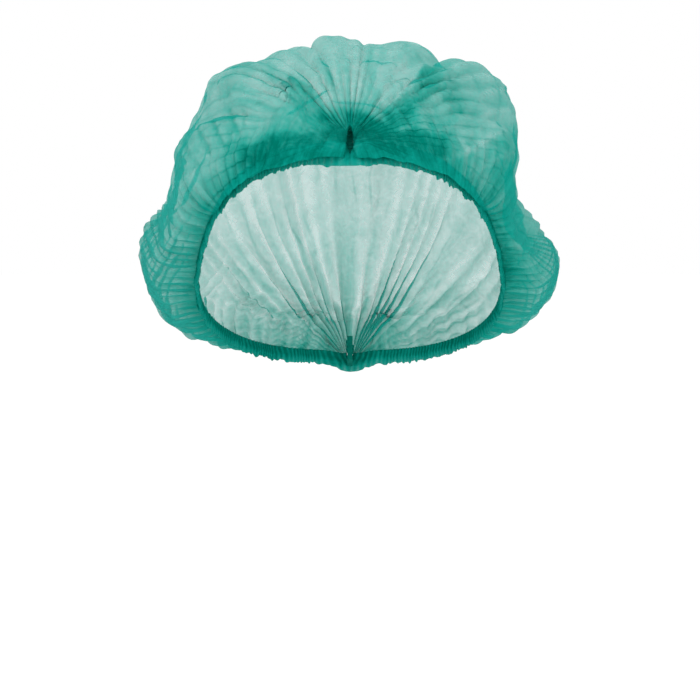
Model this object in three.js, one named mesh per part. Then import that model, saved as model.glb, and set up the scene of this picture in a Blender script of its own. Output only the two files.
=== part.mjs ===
// A disposable hair cover cap of thin pleated nonwoven cloth, as it stands when worn.
// One strip of cloth is pleated from front to back and welded together at both ends.
// Between the welds it puffs out into a crown, and an elastic hem gathers each long edge.
// Millimetres, +Z up, -Y is the wearer's front and +X the wearer's left.
// The origin is the middle of the head opening, halfway between the two welds.
import * as THREE from "three";

// The head opening, whose long axis drops from the forehead to the nape
const openingLength = 214;
const openingWidth = 154;
const openingTilt = 30.5; // degrees
const rimDroop = 13; // how far the rim hangs below the opening's plane over the ears
const rimFullness = 0.86; // under 1 makes the opening squarer than an ellipse
const napeWidening = 5; // extra half width behind the ears
const widening = { start: 0.3, end: 0.7 }; // shares of the way along in which it grows
const earDroopGain = 0.5; // how much more of the droop is behind the ears than before them

// The puffed crown
const crownLength = 236;
const crownWidth = 192;
const crownHeight = 113; // over the opening's plane
const crownSquareness = 2.5; // 2 is an ellipsoid, more is boxier
const clothWall = 1.1;
const rollHeight = 20; // the cloth's roll out of the hem, before the crown proper
const steepestEdge = 0.82; // the most that the roll may take of the crown's half width, near the welds
const earSag = 11; // how far that roll hangs lower behind the ears
const earSagShare = 0.62; // where it hangs lowest, as a share of the way along
const earSagSpan = 0.22;
const lobeReach = 16; // the deepest lobe or hollow of the crown
const foldDepth = 7; // the deepest single fold
const pleatDepth = 2.2; // the pleats that fan out of the welds
const gatherDepth = 1.9; // the gathers that the elastic makes

// The elastic hems and the welded ends
const hemWidth = 9;
const hemThickness = 1.7;
const hemRipple = 0.8;
const rippleLeft = 0.2; // share of the ripple that is left at the hem's top
const rippleCalm = 0.05; // share of the way along over which the ripple grows from a weld
const weldHeight = 15;
const weldThickness = 3;
const weldDepth = 8;
const weldProud = 3; // the part of its depth that stands out of the cloth
const crimpPitch = 2.5;
const crimpDepth = 0.6;
const crimpRidge = 0.45; // share of the pitch that stays proud
const crimpSlope = 0.15; // share of the pitch that each side of a crimp takes
const clearance = 0.3; // between pieces that touch

// The mesh: two faces to a pleat across, and two to a gather along. The hems share the gathers.
const pleatCount = 24;
const gatherCount = 23;
const rollColumns = 5; // on each side
const rollShare = rollColumns / pleatCount;
const weldReach = 0.13; // share of the way along over which a weld draws the cloth in
const foldEase = { start: 0.12, end: 0.2 }; // shares of the way along in which a main fold starts and ends
const pleatFan = 0.16; // share of the way along in which the pleats reach their depth
const pleatFade = 0.75; // share of that depth which they lose by the middle
// The gathers start, are full, fade and end at these shares of the way from the hem to the middle
const gatherSpan = { start: 0.02, full: 0.12, fade: 0.2, end: 0.62 };
const gatherCalm = { start: 0.05, end: 0.2 }; // shares of the way along without gathers, at the welds
// Folds and pleats reach their depth between these shares of the way from the hem to the middle
const foldSpan = { start: 0.02, end: 0.2 };
const pleatSpan = { start: 0.1, end: 0.4 };

// Lobes and hollows, with angles in degrees. Along runs from 0 at the front weld over the crown to 180 at
// the back one, and around from -90 at the wearer's right over 0 at the top to 90 at the left. Reach is a
// share of lobeReach.
const lobes = [
  { name: "forehead puff", along: 24, around: 0, reach: 0.35, alongSpan: 20, aroundSpan: 46 },
  { name: "right crown hollow", along: 62, around: -24, reach: -0.15, alongSpan: 30, aroundSpan: 12 },
  { name: "right shoulder hollow", along: 72, around: -48, reach: -0.3, alongSpan: 30, aroundSpan: 8 },
  { name: "right temple lobe", along: 78, around: -60, reach: 0.35, alongSpan: 30, aroundSpan: 9 },
  { name: "right waist", along: 84, around: -72, reach: -0.3, alongSpan: 30, aroundSpan: 6 },
  { name: "right ear lobe", along: 106, around: -88, reach: 1.1, alongSpan: 36, aroundSpan: 16 },
  { name: "left crown hollow", along: 62, around: 12, reach: -0.15, alongSpan: 30, aroundSpan: 12 },
  { name: "left shoulder", along: 68, around: 48, reach: 0.5, alongSpan: 32, aroundSpan: 11 },
  { name: "left waist", along: 84, around: 72, reach: -0.8, alongSpan: 30, aroundSpan: 7 },
  { name: "left ear lobe", along: 108, around: 90, reach: 1.6, alongSpan: 32, aroundSpan: 15 },
  { name: "back puff", along: 132, around: 4, reach: 0.45, alongSpan: 30, aroundSpan: 60 },
  { name: "back right hollow", along: 118, around: -22, reach: -0.4, alongSpan: 26, aroundSpan: 10 },
  { name: "back left hollow", along: 124, around: 38, reach: -0.35, alongSpan: 30, aroundSpan: 10 },
];

// Main folds, each running from the front towards the back. From and to are shares of the way along,
// around the angle at which it leaves, drift the degrees that it wanders, depth a share of foldDepth.
const folds = [
  { name: "middle peak", from: 0.06, to: 0.62, around: -6, drift: 2, width: 5, depth: 0.45 },
  { name: "middle valley", from: 0.05, to: 0.46, around: 8, drift: 3, width: 4, depth: -0.5 },
  { name: "left peak", from: 0.08, to: 0.6, around: 15, drift: 6, width: 4.5, depth: 0.2 },
  { name: "left diagonal valley", from: 0.04, to: 0.44, around: 30, drift: 4, width: 7, depth: -0.85 },
  { name: "left shoulder ridge", from: 0.1, to: 0.75, around: 40, drift: 8, width: 6, depth: 0.5 },
  { name: "left cheek valley", from: 0.06, to: 0.5, around: 58, drift: 6, width: 5, depth: -0.45 },
  { name: "right near valley", from: 0.05, to: 0.5, around: -11, drift: -4, width: 4.5, depth: -0.6 },
  { name: "right peak", from: 0.08, to: 0.5, around: -19, drift: -5, width: 4.5, depth: 0.2 },
  { name: "right diagonal valley", from: 0.05, to: 0.45, around: -31, drift: -6, width: 5.5, depth: -0.7 },
  { name: "right shoulder ridge", from: 0.1, to: 0.6, around: -38, drift: -6, width: 6, depth: 0.55 },
  { name: "right cheek valley", from: 0.06, to: 0.4, around: -56, drift: -4, width: 5, depth: -0.5 },
  { name: "back middle valley", from: 0.55, to: 0.95, around: 2, drift: 3, width: 6, depth: -0.75 },
  { name: "back right ridge", from: 0.5, to: 0.96, around: -16, drift: 4, width: 7, depth: 0.7 },
  { name: "back left ridge", from: 0.5, to: 0.96, around: 20, drift: -4, width: 7, depth: 0.75 },
  { name: "back left valley", from: 0.55, to: 0.94, around: 42, drift: -6, width: 6, depth: -0.6 },
  { name: "back right valley", from: 0.5, to: 0.95, around: -40, drift: 6, width: 6, depth: -0.65 },
];

const degree = Math.PI / 180;
const rows = gatherCount * 2;
const columns = pleatCount * 2;
const tilt = openingTilt * degree;
const sideways = new THREE.Vector3(1, 0, 0);
const towardsBack = new THREE.Vector3(0, Math.cos(tilt), -Math.sin(tilt));
const outOfOpening = new THREE.Vector3(0, Math.sin(tilt), Math.cos(tilt));
const crownEdgeRise = hemWidth + clearance;

// A point from its places in the opening's own axes
function place(across, along, rise) {
  return new THREE.Vector3()
    .addScaledVector(sideways, across)
    .addScaledVector(towardsBack, along)
    .addScaledVector(outOfOpening, rise);
}

function smoothStep(low, high, value) {
  const share = Math.min(1, Math.max(0, (value - low) / (high - low)));
  return share * share * (3 - 2 * share);
}

function bell(distance, span) {
  return Math.exp(-((distance / span) ** 2));
}

// 1 at even steps and -1 at odd ones
function zigzag(step) {
  return 1 - 2 * Math.abs((step % 2) - (step % 2 > 1 ? 2 : 0));
}

// How far the rim hangs below the opening's plane
function droopAt(share) {
  return rimDroop * Math.sin(Math.PI * share) ** 2 * (1 + earDroopGain * (share - 0.5));
}

// The lower edge of the hem, at a share of the way from the front weld (0) to the back one (1)
function rim(share, side, outward = 0, rise = 0) {
  const turn = Math.PI * share;
  const fullness = Math.sin(turn) ** rimFullness;
  const halfWidth = openingWidth / 2 + napeWidening * smoothStep(widening.start, widening.end, share);
  const outwardAcross = outward * Math.sin(turn);
  const outwardAlong = -outward * Math.cos(turn);
  const across = weldThickness / 2 + clearance + (halfWidth - weldThickness / 2) * fullness;
  return place(
    side * (across + outwardAcross),
    (-openingLength / 2) * Math.cos(turn) + outwardAlong,
    rise - droopAt(share),
  );
}

// How far the crown stands from the origin in one direction, folds left out
function crownRadius(alongTurn, aroundTurn) {
  const across = (Math.sin(alongTurn) * Math.sin(aroundTurn) * 2) / crownWidth;
  const along = (Math.cos(alongTurn) * 2) / crownLength;
  const rise = (Math.sin(alongTurn) * Math.cos(aroundTurn)) / crownHeight;
  const sum = [across, along, rise].reduce((total, part) => total + Math.abs(part) ** crownSquareness, 0);
  let radius = sum ** (-1 / crownSquareness);
  for (const lobe of lobes) {
    const alongAway = alongTurn / degree - lobe.along;
    const aroundAway = aroundTurn / degree - lobe.around;
    radius += lobeReach * lobe.reach * bell(alongAway, lobe.alongSpan) * bell(aroundAway, lobe.aroundSpan);
  }
  return radius;
}

function crownPoint(share, aroundTurn) {
  const turn = Math.PI * share;
  const radius = crownRadius(turn, aroundTurn);
  return place(
    radius * Math.sin(turn) * Math.sin(aroundTurn),
    -radius * Math.cos(turn),
    radius * Math.sin(turn) * Math.cos(aroundTurn),
  );
}

// The angle at which the crown proper ends and its roll into the hem begins
function edgeTurn(share) {
  const edgeRise = crownEdgeRise + rollHeight - droopAt(share);
  const reach = (crownWidth / 2) * Math.sin(Math.PI * share);
  return Math.acos(edgeRise < steepestEdge * reach ? edgeRise / reach : steepestEdge);
}

// How much lower the roll hangs for the ears. It starts and ends level.
function sagAt(share, turn) {
  const highest = (2 / 5) * (3 / 5) ** 1.5; // of sin² cos³
  const form = (Math.sin(turn) ** 2 * Math.cos(turn) ** 3) / highest;
  return earSag * form * bell(share - earSagShare, earSagSpan);
}

// The end of the cloth that goes round a weld, from the wearer's right over its top to the left
function weldLoop(end, across) {
  const halfGap = weldThickness / 2 + clearance + clothWall;
  const top = weldHeight + clearance + clothWall;
  const wall = top - crownEdgeRise;
  const length = 2 * wall + 2 * halfGap;
  const walked = ((across + 1) / 2) * length;
  const along = (end * openingLength) / 2;
  if (walked < wall) return place(-halfGap, along, crownEdgeRise + walked);
  if (walked > length - wall) return place(halfGap, along, crownEdgeRise + length - walked);
  return place(walked - wall - halfGap, along, top);
}

// The crown's smooth form. Along goes from 0 to 1 and across from -1 at the right hem to 1 at the left.
function smoothCrown(share, across) {
  const side = across < 0 ? -1 : 1;
  const inward = Math.min(1, (1 - Math.abs(across)) / rollShare);
  const edge = edgeTurn(share);
  let point;
  if (inward < 1) {
    const start = crownPoint(share, side * edge);
    const end = rim(share, side, 0, crownEdgeRise);
    const step = start.clone().sub(end);
    const drop = step.dot(outOfOpening);
    const flat = step.clone().addScaledVector(outOfOpening, -drop);
    const turn = (1 - inward) * (Math.PI / 2);
    const rise = drop * (1 - Math.sin(turn)) - sagAt(share, turn);
    point = end.addScaledVector(flat, Math.cos(turn)).addScaledVector(outOfOpening, rise);
  } else {
    point = crownPoint(share, (edge * across) / (1 - rollShare));
  }
  const fromFront = smoothStep(0, weldReach, share);
  const fromBack = smoothStep(0, weldReach, 1 - share);
  if (fromFront < 1) point.lerp(weldLoop(-1, across), 1 - fromFront);
  if (fromBack < 1) point.lerp(weldLoop(1, across), 1 - fromBack);
  return point;
}

// How far the cloth's folds, pleats and gathers stand out of the smooth form
function foldHeight(share, across) {
  const aroundDegrees = (edgeTurn(share) / degree) * (across / (1 - rollShare));
  const hemDistance = 1 - Math.abs(across);
  const endDistance = Math.min(share, 1 - share);
  let height = 0;
  for (const fold of folds) {
    const middle = fold.around + fold.drift * share;
    const begun = smoothStep(fold.from, fold.from + foldEase.start, share);
    const ended = smoothStep(fold.to, fold.to - foldEase.end, share);
    height += foldDepth * fold.depth * begun * ended * bell(aroundDegrees - middle, fold.width);
  }
  height *= smoothStep(foldSpan.start, foldSpan.end, hemDistance);
  const faded = 1 - pleatFade * smoothStep(pleatFan, 0.5, endDistance);
  const fan = smoothStep(0, pleatFan, endDistance) * faded;
  const grown = smoothStep(pleatSpan.start, pleatSpan.end, hemDistance);
  height += pleatDepth * fan * grown * zigzag((across + 1) * pleatCount);
  const risen = smoothStep(gatherSpan.start, gatherSpan.full, hemDistance);
  const ruffle = risen * (1 - smoothStep(gatherSpan.fade, gatherSpan.end, hemDistance));
  const awayFromWelds = smoothStep(gatherCalm.start, gatherCalm.end, endDistance);
  height += gatherDepth * ruffle * awayFromWelds * zigzag(share * rows);
  return height;
}

function crownNormal(share, across) {
  const small = 0.004;
  const ahead = smoothCrown(Math.min(1, share + small), across);
  const behind = smoothCrown(Math.max(0, share - small), across);
  const toTheLeft = smoothCrown(share, Math.min(1, across + small));
  const toTheRight = smoothCrown(share, Math.max(-1, across - small));
  return toTheLeft.sub(toTheRight).cross(ahead.sub(behind)).normalize();
}

// A closed wall from two grids of points that face each other
function closedSheet(outer, inner) {
  const lines = outer.length;
  const width = outer[0].length;
  const points = [...outer.flat(), ...inner.flat()];
  const faces = [];
  const at = (line, column, within = 0) => within * lines * width + line * width + column;
  const quad = (a, b, c, d) => faces.push(a, c, b, a, d, c);
  for (let line = 0; line < lines - 1; line++) {
    for (let column = 0; column < width - 1; column++) {
      quad(at(line, column), at(line + 1, column), at(line + 1, column + 1), at(line, column + 1));
      quad(at(line, column, 1), at(line, column + 1, 1), at(line + 1, column + 1, 1), at(line + 1, column, 1));
    }
    const last = width - 1;
    quad(at(line, 0), at(line, 0, 1), at(line + 1, 0, 1), at(line + 1, 0));
    quad(at(line, last), at(line + 1, last), at(line + 1, last, 1), at(line, last, 1));
  }
  for (let column = 0; column < width - 1; column++) {
    const last = lines - 1;
    quad(at(0, column), at(0, column + 1), at(0, column + 1, 1), at(0, column, 1));
    quad(at(last, column), at(last, column, 1), at(last, column + 1, 1), at(last, column + 1));
  }
  const geometry = new THREE.BufferGeometry();
  const numbers = points.flatMap((point) => point.toArray());
  geometry.setAttribute("position", new THREE.Float32BufferAttribute(numbers, 3));
  geometry.setIndex(faces);
  return geometry;
}

// The crown: the smooth form moved out by its folds, and again moved in by the wall
function crown() {
  const outer = [];
  const inner = [];
  for (let row = 0; row <= rows; row++) {
    const share = row / rows;
    outer.push([]);
    inner.push([]);
    for (let column = 0; column <= columns; column++) {
      const across = (2 * column) / columns - 1;
      const normal = crownNormal(share, across);
      const middle = smoothCrown(share, across).addScaledVector(normal, foldHeight(share, across));
      outer[row].push(middle);
      inner[row].push(middle.clone().addScaledVector(normal, -clothWall));
    }
  }
  return closedSheet(outer, inner);
}

// A hem: a rippled band along one side of the opening, whose top carries the crown's edge
function hem(side) {
  const levels = [0, 0.5, 1];
  const outer = [];
  const inner = [];
  const steps = rows * 2;
  for (let step = 0; step <= steps; step++) {
    const share = step / steps;
    const calm = smoothStep(0, rippleCalm, Math.min(share, 1 - share));
    const ripple = hemRipple * calm * zigzag(step);
    outer.push([]);
    inner.push([]);
    for (const level of levels) {
      const sway = ripple * (1 - (1 - rippleLeft) * level);
      outer[step].push(rim(share, side, hemThickness + sway, hemWidth * level));
      inner[step].push(rim(share, side, sway, hemWidth * level));
    }
  }
  return side > 0 ? closedSheet(inner, outer) : closedSheet(outer, inner);
}

// A weld: the ends of all the pleats, pressed into one flat bar with crimps across its free edge
function weld(end) {
  const crimps = Math.floor(weldHeight / crimpPitch);
  const pitch = weldHeight / crimps;
  const outline = new THREE.Shape();
  outline.moveTo(weldProud - weldDepth, 0);
  outline.lineTo(weldProud, 0);
  for (let crimp = 0; crimp < crimps; crimp++) {
    outline.lineTo(weldProud, pitch * (crimp + crimpRidge));
    outline.lineTo(weldProud - crimpDepth, pitch * (crimp + crimpRidge + crimpSlope));
    outline.lineTo(weldProud - crimpDepth, pitch * (crimp + 1 - crimpSlope));
    outline.lineTo(weldProud, pitch * (crimp + 1));
  }
  outline.lineTo(weldProud - weldDepth, weldHeight);
  const geometry = new THREE.ExtrudeGeometry(outline, { depth: weldThickness, bevelEnabled: false });
  geometry.translate(0, 0, -weldThickness / 2);
  const axes = new THREE.Matrix4().makeBasis(
    towardsBack.clone().multiplyScalar(end),
    outOfOpening,
    sideways.clone().multiplyScalar(end),
  );
  axes.setPosition(place(0, (end * openingLength) / 2, 0));
  geometry.applyMatrix4(axes);
  return geometry;
}

const crownCloth = new THREE.MeshStandardMaterial({ color: 0x3fb39c, roughness: 0.85, metalness: 0 });
const hemCloth = new THREE.MeshStandardMaterial({ color: 0x1f9a82, roughness: 0.85, metalness: 0 });
const weldedCloth = new THREE.MeshStandardMaterial({ color: 0x0c6e5b, roughness: 0.6, metalness: 0 });

function piece(name, geometry, material) {
  const mesh = new THREE.Mesh(geometry, material);
  mesh.name = name;
  return mesh;
}

const cap = new THREE.Group();
cap.add(piece("crown", crown(), crownCloth));
cap.add(piece("right_hem", hem(-1), hemCloth));
cap.add(piece("left_hem", hem(1), hemCloth));
cap.add(piece("front_weld", weld(-1), weldedCloth));
cap.add(piece("back_weld", weld(1), weldedCloth));

export default cap;
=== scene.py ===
# A disposable hair cover cap, dressed for its render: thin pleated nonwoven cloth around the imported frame.
import bpy
import math
import numpy as np
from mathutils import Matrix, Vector


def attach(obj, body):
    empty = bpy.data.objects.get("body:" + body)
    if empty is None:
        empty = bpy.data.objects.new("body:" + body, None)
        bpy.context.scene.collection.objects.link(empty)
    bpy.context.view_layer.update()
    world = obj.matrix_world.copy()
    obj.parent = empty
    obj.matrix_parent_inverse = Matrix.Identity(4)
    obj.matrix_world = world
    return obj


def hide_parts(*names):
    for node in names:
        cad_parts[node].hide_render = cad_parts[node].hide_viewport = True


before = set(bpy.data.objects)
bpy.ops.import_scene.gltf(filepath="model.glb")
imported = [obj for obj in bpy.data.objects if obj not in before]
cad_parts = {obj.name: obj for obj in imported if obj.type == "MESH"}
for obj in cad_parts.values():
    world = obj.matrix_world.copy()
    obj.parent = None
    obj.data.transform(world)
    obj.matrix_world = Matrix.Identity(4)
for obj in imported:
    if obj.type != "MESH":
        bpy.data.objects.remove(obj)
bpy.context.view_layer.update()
print("frame loaded:", ", ".join(sorted(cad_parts)))

mm = 0.001

# The worn cap's form, in millimetres and shares, as its frame has it. Share runs from 0 at the front weld
# to 1 at the back one, and across from -1 at the wearer's right hem to 1 at the left one.
capForm = {
    "openingLength": 214,
    "openingWidth": 154,
    "openingTilt": 30.5,  # degrees
    "rimDroop": 13,
    "rimFullness": 0.86,
    "browFullness": 0.69,
    "napeWidening": 5,
    "napeSpan": (0.3, 0.7),  # shares of the way along in which the nape widens
    "browSpan": (0.55, 0.3),  # and in which the rim gets as full as the brow's
    "earDroopGain": 0.5,
    "crownLength": 236,
    "crownWidth": 192,
    "crownHeight": 113,
    "crownSquareness": 2.5,
    "rollHeight": 20,
    "rollShare": 5 / 24,
    "steepestEdge": 0.82,
    "earSag": 8.5,
    "earSagShare": 0.62,
    "earSagSpan": 0.22,
    "lobeReach": 16,
    "foldDepth": 7,
    "hemWidth": 9,
    "hemTuck": 2.5,  # how far the crown's edge goes down into the hem
    "edgeOut": 0.8,  # how far it lies outside the rim
    "browTuck": 9,  # how much further down it goes over the brow, where the cloth covers the hem
    "browOut": 1.7,  # and how much further out
    "browEdgeSpan": (0.34, 0.2),  # shares of the way along in which it does so
    "browRagged": 0.9,  # how uneven the edge is there
    "browRags": 110,
    "browSteep": 0.5,  # share of a steeper roll over the brow
    "pieceGap": 0.3,
    "weldHeight": 15,
    "weldThickness": 3,
    "weldGap": 0.15,
    "weldReach": 0.13,
}

# Lobes and hollows: (along, around, reach, alongSpan, aroundSpan), in degrees and a share of lobeReach
lobes = {
    "forehead puff": (24, 0, 0.35, 20, 46),
    "right crown hollow": (62, -13, -0.2, 30, 6),
    "right crown rise": (62, -36, 0.3, 30, 9),
    "right shoulder hollow": (72, -48, -0.05, 30, 8),
    "right temple lobe": (78, -60, 0.1, 30, 9),
    "right waist": (84, -72, -0.3, 30, 6),
    "right ear lobe": (106, -88, 1.1, 36, 16),
    "left crown hollow": (62, 33, -0.15, 30, 6),
    "left crown rise": (62, 18, 0.12, 30, 8),
    "left shoulder": (68, 48, 0.5, 32, 11),
    "left waist": (84, 72, -1.15, 30, 6.5),
    "left ear lobe": (108, 90, 1.6, 32, 15),
    "back puff": (132, 4, 0.45, 30, 60),
    "back right hollow": (118, -22, -0.4, 26, 10),
    "back left hollow": (124, 38, -0.35, 30, 10),
}

# Main folds over the crown: (from, to, around, drift, width, depth), in shares of the way along, degrees and
# a share of foldDepth
mainFolds = {
    "middle peak": (0.16, 0.62, -7, 2, 9.5, 0.72),
    "middle valley": (0.18, 0.5, 5, 3, 3.6, -0.2),
    "left peak": (0.18, 0.6, 18, 6, 3.6, 0.42),
    "left diagonal valley": (0.18, 0.44, 30, 4, 7, -0.2),
    "left shoulder ridge": (0.16, 0.75, 40, 8, 6, 0.5),
    "left cheek valley": (0.16, 0.5, 58, 6, 5, -0.45),
    "right near valley": (0.2, 0.5, -11, -4, 4.5, -0.5),
    "right peak": (0.18, 0.5, -19, -5, 4.5, 0.2),
    "right diagonal valley": (0.2, 0.45, -31, -6, 5.5, -0.6),
    "right shoulder ridge": (0.16, 0.6, -38, -6, 6, 0.55),
    "right cheek valley": (0.12, 0.4, -56, -4, 5, -0.5),
    "back middle valley": (0.55, 0.95, 2, 3, 6, -0.75),
    "back right ridge": (0.5, 0.96, -16, 4, 7, 0.7),
    "back left ridge": (0.5, 0.96, 20, -4, 7, 0.75),
    "back left valley": (0.55, 0.94, 42, -6, 6, -0.6),
    "back right valley": (0.5, 0.95, -40, 6, 6, -0.65),
}
foldEase = {"start": 0.12, "end": 0.2, "hem": (0.02, 0.2)}  # shares over which a main fold grows and fades

# The camera of the photograph: a long lens, a little above the level of the eyes
view = {
    "distance": 1.5,
    "rise": 2.0,  # degrees
    "pixel": 0.00053,  # what one pixel spans at the middle of the cap
    "centreHeight": -0.0435,
    "sensor": 36.0,
    "pixels": 700,
}

tilt = math.radians(capForm["openingTilt"])
sideways = np.array([1.0, 0.0, 0.0])
towardsBack = np.array([0.0, math.cos(tilt), -math.sin(tilt)])
outOfOpening = np.array([0.0, math.sin(tilt), math.cos(tilt)])


def smoothStep(low, high, value):
    share = np.clip((value - low) / (high - low), 0, 1)
    return share * share * (3 - 2 * share)


def bell(distance, span):
    return np.exp(-((distance / span) ** 2))


def place(across, along, rise):
    across, along, rise = np.broadcast_arrays(across, along, rise)
    return across[..., None] * sideways + along[..., None] * towardsBack + rise[..., None] * outOfOpening


def unit(vectors):
    return vectors / np.maximum(np.linalg.norm(vectors, axis=-1, keepdims=True), 1e-9)


# Smooth random waves, the same each run
def waves(position, seed, octaves=1):
    total = np.zeros_like(position, dtype=float)
    for octave in range(octaves):
        values = np.random.default_rng(seed + 101 * octave).uniform(-1, 1, 4096)
        at = position * 2 ** octave + 1000.37
        cell = np.floor(at).astype(int)
        part = at - cell
        part = part * part * (3 - 2 * part)
        total += (values[cell % 4096] * (1 - part) + values[(cell + 1) % 4096] * part) / 2 ** octave
    return total


def clouds(x, y, seed, octaves=1):
    total = np.zeros(np.broadcast(x, y).shape)
    for octave in range(octaves):
        values = np.random.default_rng(seed + 77 * octave).uniform(-1, 1, (256, 256))
        atX = x * 2 ** octave + 500.2
        atY = y * 2 ** octave + 500.7
        cellX = np.floor(atX).astype(int)
        cellY = np.floor(atY).astype(int)
        partX = atX - cellX
        partY = atY - cellY
        partX = partX * partX * (3 - 2 * partX)
        partY = partY * partY * (3 - 2 * partY)
        thisX = cellX % 256
        thisY = cellY % 256
        nextX = (cellX + 1) % 256
        nextY = (cellY + 1) % 256
        low = values[thisX, thisY] * (1 - partX) + values[nextX, thisY] * partX
        high = values[thisX, nextY] * (1 - partX) + values[nextX, nextY] * partX
        total += (low * (1 - partY) + high * partY) / 2 ** octave
    return total


def droopAt(share):
    gain = 1 + capForm["earDroopGain"] * (share - 0.5)
    return capForm["rimDroop"] * np.sin(np.pi * share) ** 2 * gain


# The hem's lower edge, or a point outward of it and above it
def rim(share, side, outward=0.0, rise=0.0):
    turn = np.pi * share
    halfWeld = capForm["weldThickness"] / 2
    atNape = smoothStep(*capForm["napeSpan"], share)
    halfWidth = capForm["openingWidth"] / 2 + capForm["napeWidening"] * atNape
    overBrow = smoothStep(*capForm["browSpan"], share)
    fullness = capForm["rimFullness"] + (capForm["browFullness"] - capForm["rimFullness"]) * overBrow
    across = halfWeld + capForm["pieceGap"] + (halfWidth - halfWeld) * np.maximum(np.sin(turn), 0) ** fullness
    return place(
        side * (across + outward * np.sin(turn)),
        -capForm["openingLength"] / 2 * np.cos(turn) - outward * np.cos(turn),
        rise - droopAt(share),
    )


def crownPoint(share, around):
    turn = np.pi * share
    across = np.sin(turn) * np.sin(around) * 2 / capForm["crownWidth"]
    along = np.cos(turn) * 2 / capForm["crownLength"]
    rise = np.sin(turn) * np.cos(around) / capForm["crownHeight"]
    power = capForm["crownSquareness"]
    radius = (np.abs(across) ** power + np.abs(along) ** power + np.abs(rise) ** power) ** (-1 / power)
    for alongMiddle, aroundMiddle, reach, alongSpan, aroundSpan in lobes.values():
        alongHere = bell(np.degrees(turn) - alongMiddle, alongSpan)
        aroundHere = bell(np.degrees(around) - aroundMiddle, aroundSpan)
        radius = radius + capForm["lobeReach"] * reach * alongHere * aroundHere
    outward = radius * np.sin(turn)
    return place(outward * np.sin(around), -radius * np.cos(turn), outward * np.cos(around))


def edgeTurn(share):
    edgeRise = capForm["hemWidth"] + capForm["pieceGap"] + capForm["rollHeight"] - droopAt(share)
    reach = np.maximum(capForm["crownWidth"] / 2 * np.sin(np.pi * share), 1e-6)
    return np.arccos(np.minimum(edgeRise / reach, capForm["steepestEdge"]))


# How much lower the roll hangs behind the ears
def sagAt(share, turn):
    highest = 0.4 * 0.6 ** 1.5  # of the form below
    form = np.sin(turn) ** 2 * np.cos(turn) ** 3 / highest
    return capForm["earSag"] * form * bell(share - capForm["earSagShare"], capForm["earSagSpan"])


# The cloth's end that goes round a weld, over its top from the wearer's right to the left
def weldLoop(end, across, bottom):
    halfGap = capForm["weldThickness"] / 2 + capForm["weldGap"]
    top = capForm["weldHeight"] + capForm["weldGap"]
    wall = top - bottom
    length = 2 * wall + 2 * halfGap
    walked = (across + 1) / 2 * length
    goesUp = walked < wall
    goesDown = walked > length - wall
    away = np.where(goesUp, -halfGap, np.where(goesDown, halfGap, walked - wall - halfGap))
    rise = np.where(goesUp, bottom + walked, np.where(goesDown, bottom + length - walked, top))
    return place(away, end * capForm["openingLength"] / 2 + 0 * away, rise)


# The crown's form before its folds
def smoothCrown(share, across):
    side = np.where(across < 0, -1, 1)
    inward = np.minimum(1, (1 - np.abs(across)) / capForm["rollShare"])
    edge = edgeTurn(share)
    overBrow = smoothStep(*capForm["browEdgeSpan"], share)
    edgeRise = capForm["hemWidth"] - capForm["hemTuck"] - capForm["browTuck"] * overBrow
    ragged = waves(share * capForm["browRags"] + 40 * side, 44) * smoothStep(0.01, 0.04, share)
    edgeRise = edgeRise + capForm["browRagged"] * overBrow * ragged
    start = crownPoint(share, side * edge)
    end = rim(share, side, capForm["edgeOut"] + capForm["browOut"] * overBrow, edgeRise)
    step = start - end
    drop = step @ outOfOpening
    flat = step - drop[..., None] * outOfOpening
    turn = (1 - inward) * np.pi / 2
    steep = capForm["browSteep"] * overBrow
    outwards = (1 - steep) * np.cos(turn) + steep * (1 - np.sin(turn))
    upwards = (1 - steep) * (1 - np.sin(turn)) + steep * np.cos(turn)
    rise = drop * upwards - sagAt(share, turn)
    roll = end + flat * outwards[..., None] + rise[..., None] * outOfOpening
    dome = crownPoint(share, edge * across / (1 - capForm["rollShare"]))
    point = np.where((inward < 1)[..., None], roll, dome)
    for end, away in ((-1, share), (1, 1 - share)):
        near = (1 - smoothStep(0, capForm["weldReach"], away))[..., None]
        point = point * (1 - near) + weldLoop(end, across, edgeRise) * near
    return point


# The outward normal of the smooth form, and its unit steps along and across
def crownAxes(share, across):
    small = 0.004
    ahead = smoothCrown(np.minimum(1, share + small), across)
    behind = smoothCrown(np.maximum(0, share - small), across)
    toTheLeft = smoothCrown(share, np.minimum(1, across + small))
    toTheRight = smoothCrown(share, np.maximum(-1, across - small))
    alongStep = ahead - behind
    acrossStep = toTheLeft - toTheRight
    return unit(np.cross(acrossStep, alongStep)), unit(alongStep), unit(acrossStep)


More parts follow.
